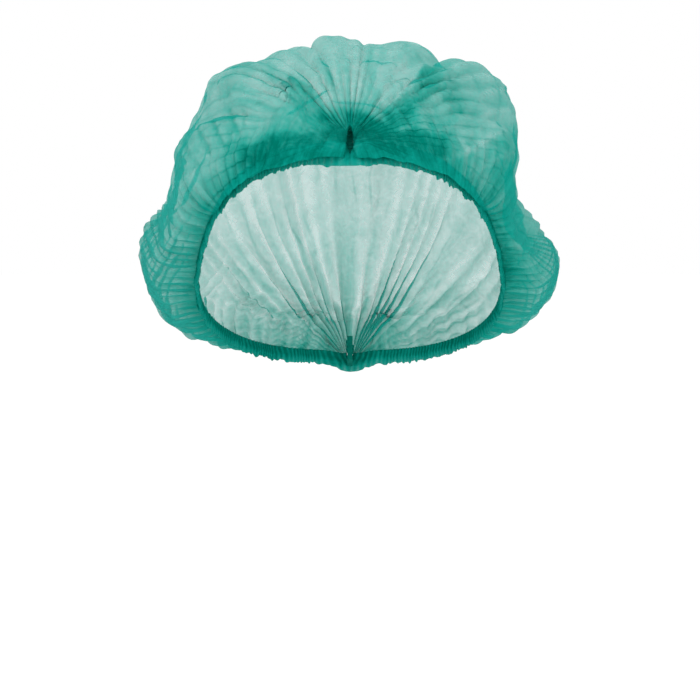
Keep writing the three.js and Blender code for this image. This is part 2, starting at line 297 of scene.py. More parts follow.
# The crown's cloth: what a user would change
crownCloth = {
    "rows": 220,  # along, before the last subdivision
    "columns": 113,
    "weldPleats": 30,
    "pleatDepth": 2.5,
    "depthSpread": (0.75, 0.45),  # what each pleat has of it: the middle share, and what chance adds or takes
    "backDeeper": 1.0,  # how much deeper the pleats and gathers are behind
    "behindSpan": (0.5, 0.75),  # share of the way along in which the gathers get so
    "pleatLap": 0.5,  # over 1 the pleats lie over each other
    "pleatReach": 62,  # how far the deepest part of a pleat runs from its weld
    "reachSpread": 0.5,  # what chance adds to that or takes
    "leastReach": 20,
    "pleatFull": 42,  # how far from its weld a pleat is first at its full depth
    "pleatBunching": 0.9,
    "bunches": 4.4,  # on each side
    "pleatWander": 0.3,
    "pleatLayers": 0.2,  # how much thicker the cloth lies on the side to which a pleat leans
    "pleatRunOn": 0.14,  # share of their depth with which the pleats run on over the crown
    "runOnStart": (0.05, 0.2),  # shares of the way along
    "runOnEnd": (0.62, 0.38),
    "pleatHemSpan": (0.03, 0.3),  # shares of the way from the hem to the middle
    "fanRise": 5,  # height of the line about which the pleats fan
    "fanEdge": 105,  # degrees
    "weldPuff": 6,  # how far the cloth beside a weld stands out, which leaves the weld in a slit
    "puffStart": (0, 0.03),  # shares of the way along
    "puffEnd": (0.13, 0.05),
    "gatherPitch": 5.6,
    "gatherDepth": 1.4,
    "gatherCalm": (0.04, 0.16),  # share of the way along without gathers, at the welds
    "earDepth": 0.7,  # how much deeper the gathers are over the ears
    "gatherReach": 46,
    "backReach": 40,  # how much further they reach behind
    "earReach": 74,  # how much further the gathers reach over the ears
    "finePitch": 2.6,
    "fineDepth": 0.75,
    "fineReach": 24,
    "earMiddle": 0.52,  # where the ears are, as a share of the way along
    "earSpan": 0.2,
    "wrinkleDepth": 0.6,
    "earCalm": 0.8,  # how much of the wrinkles the ears lack
    "topCalm": 0.8,  # and the front of the crown's top
    "facetDepth": 0.55,  # the long flat facets between sharp creases
    "facetLength": 44,
    "facetWidth": 15,
    "ridgeHighlight": 0.08,  # painted highlight: how much paler the cloth is painted on a sharp ridge
    "valleyShade": 0.06,  # painted shade: and how much darker in a sharp valley, partly for the thicker cloth that overlaps there
    "sharpBend": 0.22,
    "rimLength": 290,  # of the cloth along a hem
    "clothLength": 330,  # over the crown from weld to weld
    "crossLength": 400,  # from hem to hem
    "finerAtWelds": 0.5,  # how much closer the rows lie at the welds
    "restFrames": 14,
    "spareCloth": 0.09,
    "bending": 0.6,
    "mostMove": 6,
    "keptDrift": 0.15,  # share of the cloth's wide, even drift that is kept
}

# Wrinkles: (length, width, share of the depth, seed), lengths in millimetres
wrinkleScales = {"long": (50, 17, 1.0, 5), "short": (26, 9, 0.35, 6), "crosswise": (17, 34, 0.25, 7)}

# How the folds and zones below are laid on the cloth, in pixels and shares
frontLook = {
    "lineWobble": 0.9,
    "wobbleLength": 18,
    "zoneWarp": 5,
    "zoneClouds": 16,
    "zoneEdge": (1.5, 0.35),  # where a zone begins and is full, as shares of its half width
    "lapRise": (-2.5, 1.5),  # where a lap's edge rises, across its line
    "lapCover": (-1.5, 0.5),  # where the thicker cloth begins
    "lapHeight": 0.5,  # share of a lap's depth
    "fadeOut": 0.15,  # share of a line's length over which a fold fades at each end
}

# Folds seen from the front, each along a line of pixels of the photograph's 700 x 700 frame: (kind, width in
# pixels, depth in millimetres, added density, line). A lap has its sharp edge on the line and lies over the
# cloth on the right of the line's way, a crease is a thin ridge, and a dip is a thin valley.
photoFolds = {
    "left lobe edge": (
        "lap", 15, 1.9, 0.22,
        ((307, 130), (299, 112), (290, 99), (277, 85), (263, 72), (259, 60)),
    ),
    "left curl": ("lap", 13, 1.7, 0.3, ((288, 71), (307, 86), (318, 100), (325, 113), (333, 128))),
    "left near curl": ("lap", 9, 0.9, 0.25, ((329, 92), (326, 78), (320, 68), (312, 60))),
    "peak fold": ("lap", 7, 1.3, 0.14, ((346, 104), (345, 80), (341, 58), (337, 40))),
    "upper crease": ("crease", 4, 1.0, 0.08, ((226, 100), (247, 99), (265, 104), (281, 107), (296, 108))),
    "lobe stripe one": ("dip", 5, 0.9, 0.22, ((229, 106), (233, 120), (238, 138))),
    "lobe stripe two": ("dip", 5, 0.8, 0.14, ((244, 108), (245, 120), (244, 134))),
    "lobe stripe three": ("dip", 5, 0.9, 0.22, ((212, 118), (217, 136), (226, 150))),
    "lobe stripe four": ("dip", 5, 0.9, 0.14, ((196, 126), (202, 142), (213, 158))),
    "lobe stripe five": ("dip", 5, 0.9, 0.14, ((183, 140), (189, 156), (199, 170))),
    "ear band edge": ("lap", 16, 2.0, -0.1, ((172, 187), (194, 171), (215, 161), (231, 153), (246, 147))),
    "weld line left": (
        "crease", 3.2, 1.0, -0.22,
        ((295, 133), (306, 135), (313, 142), (323, 150), (340, 157)),
    ),
    "weld line left two": ("crease", 3.2, 0.9, -0.2, ((306, 128), (318, 139), (328, 148), (341, 153))),
    "dark stem": ("lap", 10, 1.6, 0.14, ((372, 106), (371, 85), (368, 65), (365, 46))),
    "dark diagonal": (
        "lap", 27, 2.6, 0.4,
        ((377, 118), (393, 104), (405, 92), (414, 80), (423, 68), (427, 58)),
    ),
    "pale crease": ("dip", 3, 0.7, 0.2, ((390, 70), (398, 82), (406, 94))),
    "second peak edge": ("lap", 9, 0.8, 0.18, ((393, 62), (398, 52), (407, 41))),
    "right slope one": ("lap", 14, 1.4, 0.14, ((436, 78), (447, 90), (457, 104), (467, 118))),
    "right slope two": ("lap", 9, 1.0, 0.12, ((455, 82), (461, 98), (466, 112))),
    "shoulder line": ("crease", 5, 1.3, -0.14, ((472, 99), (489, 93), (511, 87))),
    "shoulder line two": ("crease", 5, 1.1, -0.12, ((478, 116), (490, 113), (514, 108))),
    "wavy line": (
        "crease", 3.6, 1.2, -0.2,
        (
            (382, 138), (396, 132), (405, 131), (414, 126), (426, 126),
            (432, 132), (441, 133), (454, 125), (468, 122),
        ),
    ),
    "weld line right": (
        "crease", 3.4, 1.0, -0.2,
        ((350, 156), (366, 150), (382, 146), (394, 144), (410, 147)),
    ),
    "weld line right two": ("crease", 3.2, 0.9, -0.18, ((354, 150), (372, 143), (384, 137))),
    "cheek line": ("crease", 5, 1.2, -0.14, ((456, 158), (477, 144), (492, 135), (509, 130))),
    "cheek line two": ("crease", 5, 1.1, -0.12, ((476, 172), (495, 160), (516, 150))),
    "cheek dip": ("dip", 8, 1.2, 0.1, ((463, 146), (478, 134), (492, 126))),
}

# Zones where the cloth lies thicker or, below nought, thinner, and two on the right side that are painted
# shade: (x, y, half width, half height, turn, added)
clothZones = {
    "over the weld": (346, 137, 50, 21, 0, 0.45),
    "band left of the weld": (284, 150, 54, 15, -4, 0.5),
    "band end": (232, 169, 34, 12, -28, 0.06),
    "right of the weld": (402, 141, 46, 17, 8, 0.55),
    "right rise": (432, 126, 36, 14, -8, 0.14),
    "left lobe": (266, 92, 34, 14, 14, -0.16),
    "left upper lobe": (238, 79, 22, 13, -35, 0.15),
    "left lower lobe": (218, 130, 30, 18, -28, 0.08),
    "left strip": (300, 72, 26, 8, 30, -0.2),
    "left curl strip": (320, 96, 16, 6, 62, -0.16),
    "peak strip": (352, 66, 15, 32, -4, -0.2),
    "peak left strip": (322, 56, 20, 18, -30, -0.18),
    "right pane": (394, 82, 19, 30, 14, -0.4),
    "right dome": (446, 84, 26, 30, -30, 0.1),
    "right dome foot": (462, 112, 22, 16, -30, 0.02),
    "cheek pane": (482, 138, 26, 10, -38, -0.1),
    # Painted shade: the right side and the right waist are darkened where they turn away from the lamps
    "right side shade": (506, 160, 22, 30, 0, 0.3),
    "right waist": (508, 205, 18, 30, 0, 0.2),
    "right ear lobe": (530, 262, 30, 36, 0, 0.2),
    "right shoulder": (498, 100, 22, 18, 0, 0.1),
    "left outer lobe": (182, 150, 14, 34, 8, 0.08),
    "left waist": (180, 205, 22, 30, 0, 0.02),
    "left ear lobe": (176, 258, 24, 34, 0, -0.08),
}


def mainFoldHeight(share, across):
    around = np.degrees(edgeTurn(share)) * across / (1 - capForm["rollShare"])
    height = np.zeros_like(share)
    for begins, ends, leaves, drift, width, depth in mainFolds.values():
        middle = leaves + drift * share
        begun = smoothStep(begins, begins + foldEase["start"], share)
        ended = smoothStep(ends, ends - foldEase["end"], share)
        height += capForm["foldDepth"] * depth * begun * ended * bell(around - middle, width)
    return height * smoothStep(*foldEase["hem"], 1 - np.abs(across))


# The turn of each point about the line from weld to weld, from -1 on the wearer's right to 1 on the left
def fanTurn(points):
    rise = points @ outOfOpening - crownCloth["fanRise"]
    return np.clip(np.degrees(np.arctan2(points[:, 0], rise)) / crownCloth["fanEdge"], -1, 1)


# A place inside a weld, at a share of its height: end is -1 for the front weld and 1 for the back one
def weldPlace(end, heightShare):
    return place(0, end * capForm["openingLength"] / 2, capForm["weldHeight"] * heightShare)


# Pleats that fan out of both welds, in bunches, each of its own length and depth. The cloth lies thicker
# where a pleat leans over.
def weldPleats(points, share, across, axes):
    normal = axes[0]
    fan = fanTurn(points)
    shift = np.zeros_like(points)
    layers = np.zeros(len(points))
    for front, seed in ((True, 11), (False, 57)):
        end = -1 if front else 1
        weld = weldPlace(end, 0.5)
        away = np.linalg.norm(points - weld, axis=1)
        radial = unit(points - weld)
        sidestep = unit(np.cross(radial, normal))
        bunch = crownCloth["pleatBunching"] * waves(fan * crownCloth["bunches"], seed + 5)
        wander = crownCloth["pleatWander"] * waves(fan * 4 + away / 70, seed + 1)
        number = crownCloth["weldPleats"] * (fan + 1) / 2 + bunch + wander * smoothStep(5, 60, away)
        phase = 2 * np.pi * number
        reach = crownCloth["pleatReach"] * (1 + crownCloth["reachSpread"] * waves(number * 0.9, seed + 3))
        reach = np.maximum(reach, crownCloth["leastReach"])
        evenly, byChance = crownCloth["depthSpread"]
        depth = crownCloth["pleatDepth"] * (evenly + byChance * waves(number * 0.7, seed + 4))
        if not front:
            depth = depth * (1 + crownCloth["backDeeper"])
        nearEnd = share if front else 1 - share
        runOn = smoothStep(*crownCloth["runOnStart"], nearEnd) * smoothStep(*crownCloth["runOnEnd"], nearEnd)
        there = np.clip(away / crownCloth["pleatFull"], 0, 1) * np.exp(-((away / reach) ** 2))
        there = there + crownCloth["pleatRunOn"] * runOn
        there = there * smoothStep(*crownCloth["pleatHemSpan"], 1 - np.abs(across))
        height = depth * there * np.cos(phase)
        slide = crownCloth["pleatLap"] * depth * there * np.sin(phase)
        shift += normal * height[:, None] + sidestep * slide[:, None]
        leaning = 0.2 + np.sin(phase) + 0.5 * waves(fan * 9, seed + 6)
        layers += crownCloth["pleatLayers"] * there * leaning
        puff = smoothStep(*crownCloth["puffStart"], nearEnd) * smoothStep(*crownCloth["puffEnd"], nearEnd)
        shift += end * crownCloth["weldPuff"] * puff[:, None] * towardsBack
    return shift, layers


def overEars(share):
    return bell(share - crownCloth["earMiddle"], crownCloth["earSpan"])


# How far a point lies from the nearer weld, as a share of the way along
def fromEnd(share):
    return np.minimum(share, 1 - share)


# How far a point of the cloth lies from its hem, in millimetres
def fromHem(across):
    return (1 - np.abs(across)) * crownCloth["crossLength"] / 2


# Gathers that run in from the hems: narrow ridges with wide valleys between them
def hemGathers(share, across, axes):
    normal, lengthwise, _ = axes
    hemAway = fromHem(across)
    side = np.sign(across)
    alongMm = share * crownCloth["rimLength"]
    ends = smoothStep(*crownCloth["gatherCalm"], fromEnd(share))
    shift = np.zeros(share.shape + (3,))
    ears = overEars(share)
    behind = smoothStep(*crownCloth["behindSpan"], share)
    mainReach = crownCloth["gatherReach"] + crownCloth["earReach"] * ears + crownCloth["backReach"] * behind
    deeper = 1 + crownCloth["earDepth"] * ears + crownCloth["backDeeper"] * behind
    mainDepth = crownCloth["gatherDepth"] * deeper
    for pitch, depth, reach, seed in (
        (crownCloth["gatherPitch"], mainDepth, mainReach, 21),
        (crownCloth["finePitch"], crownCloth["fineDepth"], crownCloth["fineReach"], 33),
    ):
        wander = 0.4 * clouds(alongMm / 40 + 9 * side, hemAway / 60, seed)
        uneven = 0.35 * waves(alongMm / 17 + 31 * side, seed + 1)
        number = alongMm / pitch + wander * (1 - 0.6 * ears) + uneven
        strength = 0.75 + 0.4 * waves(number * 0.5 + 50 * side, seed + 2)
        own = reach * (0.8 + 0.3 * waves(number * 0.8 - 50 * side, seed + 3))
        there = ends * smoothStep(0, 7, hemAway) * (1 - smoothStep(0.35 * own, own, hemAway))
        phase = 2 * np.pi * number
        ridge = 1.7 * (1 - np.abs(np.sin(phase / 2))) ** 1.4 - 0.6
        shift += normal * (depth * strength * there * ridge)[..., None]
        shift += lengthwise * (0.4 * depth * strength * there * np.sin(phase))[..., None]
    return shift


# Flat facets that meet in sharp ridges, as far as each point is from the nearest of some scattered places
def facetHeight(x, y, seed):
    shifts = np.random.default_rng(seed).uniform(0.1, 0.9, (64, 64, 2))
    cellX = np.floor(x).astype(int)
    cellY = np.floor(y).astype(int)
    nearest = np.full(x.shape, 9.0)
    for stepX in (-1, 0, 1):
        for stepY in (-1, 0, 1):
            shift = shifts[(cellX + stepX) % 64, (cellY + stepY) % 64]
            offX = cellX + stepX + shift[..., 0] - x
            offY = cellY + stepY + shift[..., 1] - y
            nearest = np.minimum(nearest, np.hypot(offX, offY))
    return 1.6 * nearest - 0.7


# Wrinkles and facets over the whole crown, calmer over the ears and on the front of the top
def wrinkles(share, across, normal):
    alongMm = share * crownCloth["clothLength"]
    acrossMm = across * crownCloth["crossLength"] / 2
    height = np.zeros_like(share)
    for scaleAlong, scaleAcross, depth, seed in wrinkleScales.values():
        bendAlong = alongMm + 14 * clouds(alongMm / 50, acrossMm / 50, seed + 60)
        bendAcross = acrossMm + 14 * clouds(alongMm / 50, acrossMm / 50, seed + 61)
        ridge = 1 - np.abs(clouds(bendAlong / scaleAlong, bendAcross / scaleAcross, seed)) * 2.2
        height += depth * np.clip(ridge, -0.6, 1) ** 3
    bentAlong = alongMm + 9 * clouds(alongMm / 40, acrossMm / 25, 62)
    bentAcross = acrossMm + 9 * clouds(alongMm / 40, acrossMm / 25, 63)
    facets = facetHeight(bentAlong / crownCloth["facetLength"], bentAcross / crownCloth["facetWidth"], 64)
    height += crownCloth["facetDepth"] / crownCloth["wrinkleDepth"] * facets
    hemAway = fromHem(across)
    ends = smoothStep(0.02, 0.14, fromEnd(share)) * smoothStep(4, 24, hemAway)
    ears = overEars(share) * smoothStep(0.45, 0.7, np.abs(across))
    top = bell(share - 0.3, 0.12) * smoothStep(0.5, 0.25, np.abs(across))
    calm = (1 - crownCloth["earCalm"] * ears) * (1 - crownCloth["topCalm"] * top)
    return normal * (crownCloth["wrinkleDepth"] * height * ends * calm)[..., None]


def selectOnly(piece):
    bpy.ops.object.select_all(action="DESELECT")
    piece.select_set(True)
    bpy.context.view_layer.objects.active = piece


# The points of a mesh, one row each
def readPoints(mesh):
    points = np.empty(len(mesh.vertices) * 3)
    mesh.vertices.foreach_get("co", points)
    return points.reshape(-1, 3)


def writePoints(mesh, points):
    mesh.vertices.foreach_set("co", np.ascontiguousarray(points, dtype=np.float64).ravel())
    mesh.update()


def readNumber(mesh, name):
    values = np.empty(len(mesh.vertices), dtype=np.float32)
    mesh.attributes[name].data.foreach_get("value", values)
    return values.astype(float)


def writeNumber(mesh, name, values):
    if name not in mesh.attributes:
        mesh.attributes.new(name, "FLOAT", "POINT")
    mesh.attributes[name].data.foreach_set("value", np.ascontiguousarray(values, dtype=np.float32))


# A grid of numbers, evened out over its neighbours
def evened(values, passes):
    for _ in range(passes):
        for axis in (0, 1):
            width = [(1, 1) if axis == other else (0, 0) for other in (0, 1)]
            padded = np.pad(values, width, mode="edge")
            first = np.take(padded, range(0, padded.shape[axis] - 2), axis)
            last = np.take(padded, range(2, padded.shape[axis]), axis)
            values = (first + values + last) / 3
    return values


# The cloth has a little more room than its form, so it buckles into folds of its own
def settleCloth(piece, share, across):
    before = readPoints(piece.data)
    held = piece.vertex_groups.new(name="held")
    free = smoothStep(0, 0.06, fromEnd(share)) * smoothStep(0, 0.1, 1 - np.abs(across))
    for vertex, value in enumerate(free):
        if value < 1:
            held.add([vertex], 1 - value, "REPLACE")
    settling = piece.modifiers.new("settling", "CLOTH")
    cloth = settling.settings
    cloth.quality = 4
    cloth.mass = 0.02
    cloth.tension_stiffness = 8
    cloth.compression_stiffness = 8
    cloth.shear_stiffness = 3
    cloth.bending_stiffness = crownCloth["bending"]
    cloth.shrink_min = -crownCloth["spareCloth"]
    cloth.shrink_max = -crownCloth["spareCloth"]
    cloth.vertex_group_mass = "held"
    cloth.pin_stiffness = 5
    cloth.effector_weights.gravity = 0
    settling.collision_settings.use_collision = False
    settling.collision_settings.use_self_collision = False
    scene = bpy.context.scene
    settling.point_cache.frame_start = 1
    settling.point_cache.frame_end = crownCloth["restFrames"]
    for moment in range(1, crownCloth["restFrames"] + 1):
        scene.frame_set(moment)
    settled = piece.evaluated_get(bpy.context.evaluated_depsgraph_get())
    after = readPoints(settled.data)
    piece.modifiers.remove(settling)
    piece.vertex_groups.remove(held)
    scene.frame_set(1)
    move = after - before
    normal = crownAxes(share, across)[0]
    outward = np.sum(move * normal, axis=1)
    grid = (crownCloth["rows"] + 1, crownCloth["columns"] + 1)
    drift = evened(outward.reshape(grid), 70).ravel()
    move -= (1 - crownCloth["keptDrift"]) * drift[:, None] * normal
    length = np.linalg.norm(move, axis=1, keepdims=True)
    most = crownCloth["mostMove"] * mm
    move *= most * np.tanh(length / most) / np.maximum(length, 1e-9)
    writePoints(piece.data, before + move)
    print("cloth settled: moved", round(float(length.mean()) * 1000, 2), "mm on average")


# Where a point of the cap shows in the photograph's frame
def pixelsOf(points):
    rise = math.radians(view["rise"])
    ahead = np.array([0, math.cos(rise), -math.sin(rise)])
    upward = np.array([0, math.sin(rise), math.cos(rise)])
    aim = np.array([0, 0, view["centreHeight"] / mm])
    away = (points - aim) @ ahead + view["distance"] / mm
    scale = view["distance"] / mm / away / (view["pixel"] / mm)
    x = view["pixels"] / 2 + points[:, 0] * scale
    y = view["pixels"] / 2 - ((points - aim) @ upward) * scale
    return x, y


# How far each pixel lies from a line of points, on which side, and how far along it
def nearLine(x, y, line):
    line = np.array(line, dtype=float)
    best = np.full(x.shape, 1e9)
    sideOf = np.zeros(x.shape)
    walked = np.zeros(x.shape)
    done = 0.0
    for first, second in zip(line[:-1], line[1:]):
        step = second - first
        length = float(np.hypot(*step))
        along = np.clip(((x - first[0]) * step[0] + (y - first[1]) * step[1]) / length ** 2, 0, 1)
        offX = x - first[0] - along * step[0]
        offY = y - first[1] - along * step[1]
        distance = np.hypot(offX, offY)
        nearer = distance < best
        sideOf = np.where(nearer, np.sign(step[0] * offY - step[1] * offX), sideOf)
        walked = np.where(nearer, done + along * length, walked)
        best = np.minimum(best, distance)
        done += length
    return best, sideOf, walked / done


# The folds that the photograph shows from the front, as height and added density
def photoFoldShape(points, normal):
    x, y = pixelsOf(points)
    facing = smoothStep(-0.04, 0.1, -normal[:, 1]) * smoothStep(60, 30, points[:, 1])
    x = x + frontLook["lineWobble"] * waves(y / frontLook["wobbleLength"], 301)
    y = y + frontLook["lineWobble"] * waves(x / frontLook["wobbleLength"], 302)
    cloudX = x / frontLook["zoneClouds"]
    cloudY = y / frontLook["zoneClouds"]
    zoneX = x + frontLook["zoneWarp"] * clouds(cloudX, cloudY, 311, 2)
    zoneY = y + frontLook["zoneWarp"] * clouds(cloudX, cloudY, 312, 2)
    height = np.zeros(len(points))
    density = np.zeros(len(points))
    for kind, width, depth, added, line in photoFolds.values():
        distance, sideOf, walked = nearLine(x, y, line)
        ends = smoothStep(0, frontLook["fadeOut"], walked) * smoothStep(1, 1 - frontLook["fadeOut"], walked)
        if kind == "lap":
            signed = distance * sideOf
            form = smoothStep(*frontLook["lapRise"], signed) * np.exp(-np.maximum(signed, 0) / width * 1.6)
            cover = smoothStep(*frontLook["lapCover"], signed) * smoothStep(width, 0.45 * width, signed)
            height += frontLook["lapHeight"] * depth * form * ends
            density += added * cover * ends
        else:
            form = bell(distance, width / 2)
            height += (depth if kind == "crease" else -depth) * form * ends
            density += added * bell(distance, width * 0.6) * ends
    # The zones add density: most are thicker or thinner cloth, and those on the right side are painted shade
    for placeX, placeY, halfWidth, halfHeight, turn, added in clothZones.values():
        turned = math.radians(turn)
        alongX = (zoneX - placeX) * math.cos(turned) + (zoneY - placeY) * math.sin(turned)
        alongY = -(zoneX - placeX) * math.sin(turned) + (zoneY - placeY) * math.cos(turned)
        away = np.hypot(alongX / halfWidth, alongY / halfHeight)
        density += added * smoothStep(*frontLook["zoneEdge"], away)
    return height * facing, density * facing


def makeCrown():
    bpy.ops.object.select_all(action="DESELECT")
    bpy.ops.mesh.primitive_grid_add(
        x_subdivisions=crownCloth["columns"], y_subdivisions=crownCloth["rows"], size=2, location=(0, 0, 0)
    )
    piece = bpy.context.object
    piece.name = "crown_cloth"
    mesh = piece.data
    flat = readPoints(mesh)
    across = np.clip(flat[:, 0], -1, 1)
    row = np.clip((flat[:, 1] + 1) / 2, 0, 1)
    share = row - crownCloth["finerAtWelds"] * np.sin(2 * np.pi * row) / (2 * np.pi)
    writeNumber(mesh, "across", across)
    writeNumber(mesh, "share", share)
    axes = crownAxes(share, across)
    points = smoothCrown(share, across) + axes[0] * mainFoldHeight(share, across)[:, None]
    writePoints(mesh, points * mm)
    settleCloth(piece, share, across)

    rounding = piece.modifiers.new("rounding", "SUBSURF")
    rounding.levels = 1
    rounding.render_levels = 1
    selectOnly(piece)
    bpy.ops.object.modifier_apply(modifier="rounding")

    mesh = piece.data
    across = np.clip(readNumber(mesh, "across"), -1, 1)
    share = np.clip(readNumber(mesh, "share"), 0, 1)
    axes = crownAxes(share, across)
    points = readPoints(mesh) / mm
    foldHeight, foldDensityAndShade = photoFoldShape(points, axes[0])
    fan = fanTurn(points)
    pleats, pleatLayers = weldPleats(points, share, across, axes)
    points = points + pleats + hemGathers(share, across, axes)
    points = points + wrinkles(share, across, axes[0]) + axes[0] * foldHeight[:, None]
    writePoints(mesh, points * mm)
    atHem, atWeld, thickness = crownDensity(share, across, points)
    bend = bendOf(mesh, points, axes[0])
    # Sharp ridges get a painted highlight and sharp valleys painted shade, the latter partly for the
    # overlapping cloth there
    layers = thickness + foldDensityAndShade + pleatLayers - crownCloth["ridgeHighlight"] * np.maximum(bend, 0)
    layers = layers + crownCloth["valleyShade"] * np.maximum(-bend, 0)
    eased = crownLayers["easedFrom"]
    layers = np.where(layers > eased, 1 - (1 - eased) * np.exp(-(layers - eased) / (1 - eased)), layers)
    # The cloth's layers, with the painted highlight on ridges and the painted shade in valleys and on the
    # right side added in
    writeNumber(mesh, "clothLayersAndShade", np.maximum(layers, 0))
    writeNumber(mesh, "atHem", atHem)
    writeNumber(mesh, "atWeld", atWeld)
    writeClothMap(mesh, share * crownCloth["clothLength"] * mm, fan * crownCloth["crossLength"] / 2 * mm)
    bpy.ops.object.shade_smooth()
    print("crown cloth made:", len(mesh.polygons), "faces")
    return piece


# How sharply the cloth bends at each point, from 1 on a sharp ridge to -1 in a sharp valley
def bendOf(mesh, points, normal):
    ends = np.empty(len(mesh.edges) * 2, dtype=np.int32)
    mesh.edges.foreach_get("vertices", ends)
    first = ends[0::2]
    second = ends[1::2]
    count = np.bincount(ends, minlength=len(points))
    middle = np.zeros_like(points)
    for axis in range(3):
        total = np.bincount(first, points[second, axis], len(points))
        total += np.bincount(second, points[first, axis], len(points))
        middle[:, axis] = total / count
    bend = np.sum((points - middle) * normal, axis=1)
    around = np.bincount(first, bend[second], len(points)) + np.bincount(second, bend[first], len(points))
    bend = 0.5 * bend + 0.5 * around / count
    return np.tanh(bend / crownCloth["sharpBend"])


# How thickly the crown's cloth lies, from 0 for single cloth to 1 for gathered cloth, and what adds to it
crownLayers = {
    "single": 0.12,
    "behind": -0.02,
    "beside": 0.1,
    "atHem": 0.6,
    "atFrontWeld": 0.45,
    "atBackWeld": 0.6,
    "hemReach": 13,  # millimetres, over the ears
    "endReach": 9,  # and how much further at the welds
    "frontReach": (22, 8),  # round the front weld, and how far that varies
    "backReach": (34, 12),
    "easedFrom": 0.7,  # from here on it grows ever slower
}


# How near each point is to a hem and to a weld, and how thickly the cloth lies
def crownDensity(share, across, points):
    front = np.linalg.norm(points - weldPlace(-1, 0.6), axis=1)
    back = np.linalg.norm(points - weldPlace(1, 0.6), axis=1)
    hemAway = fromHem(across)
    streak = waves(share * 150 + 40 * np.sign(across), 71, 2)
    hemReach = crownLayers["hemReach"] + crownLayers["endReach"] * smoothStep(0.45, 0.1, fromEnd(share))
    hemReach = hemReach * (1 + 0.35 * streak)
    atHem = np.exp(-((hemAway / hemReach) ** 1.5))
    fan = waves(across * 24, 72, 2)
    frontReach = crownLayers["frontReach"][0] + crownLayers["frontReach"][1] * fan
    backReach = crownLayers["backReach"][0] + crownLayers["backReach"][1] * fan
    atWeld = np.exp(-((front / frontReach) ** 1.3)) + np.exp(-((back / backReach) ** 1.3))
    behind = smoothStep(0.42, 0.62, share)
    beside = smoothStep(0.35, 0.75, np.abs(across))
    weldLayers = crownLayers["atFrontWeld"] * (1 - behind) + crownLayers["atBackWeld"] * behind
    thickness = crownLayers["single"] + crownLayers["behind"] * behind + crownLayers["beside"] * beside
    thickness = thickness + crownLayers["atHem"] * atHem + weldLayers * atWeld
    return np.clip(atHem * 1.3, 0, 1), np.clip(atWeld * 1.5, 0, 1), np.clip(thickness, 0, 1)


# A map of the cloth in metres, for its fibres
def writeClothMap(mesh, along, across):
    layer = mesh.uv_layers.active or mesh.uv_layers.new(name="cloth")
    layer.name = "cloth"
    corners = np.empty(len(mesh.loops), dtype=np.int32)
    mesh.loops.foreach_get("vertex_index", corners)
    places = np.stack([along[corners], across[corners]], axis=1)
    layer.data.foreach_set("uv", places.astype(np.float32).ravel())


# The elastic hems: what a user would change
hemCloth = {
    "steps": 1300,
    "sectionPoints": 22,
    "thickness": 2.3,
    "gatherPitch": 2.3,
    "gatherDepth": 0.75,
    "edgeRuffle": 0.8,
    "edgeSway": 1.1,
    "weldCover": 3.6,  # how far the hem's end stands out to close over the foot of a weld
    "weldDrop": 3.0,  # and how far it hangs down there
    "browDrop": 3.6,  # how far the hem hangs down over the brow
    "weldCoverSpan": 0.022,  # as a share of the hem's length
    "browSpan": (0.36, 0.1),  # share of the way along in which the hem comes down over the brow
    "middle": 0.9,  # how far the hem's middle lies outside the rim
    "pinch": 0.45,  # how much thinner the hem is where its elastic runs
    "pinchHeight": 0.72,  # as a share of its height
    "closing": 0.5,  # how far the foot of the hem reaches past the middle at a weld
    "layers": (0.55, 0.35, 0.14),  # at its foot, what its height adds, and what its gathers do
}


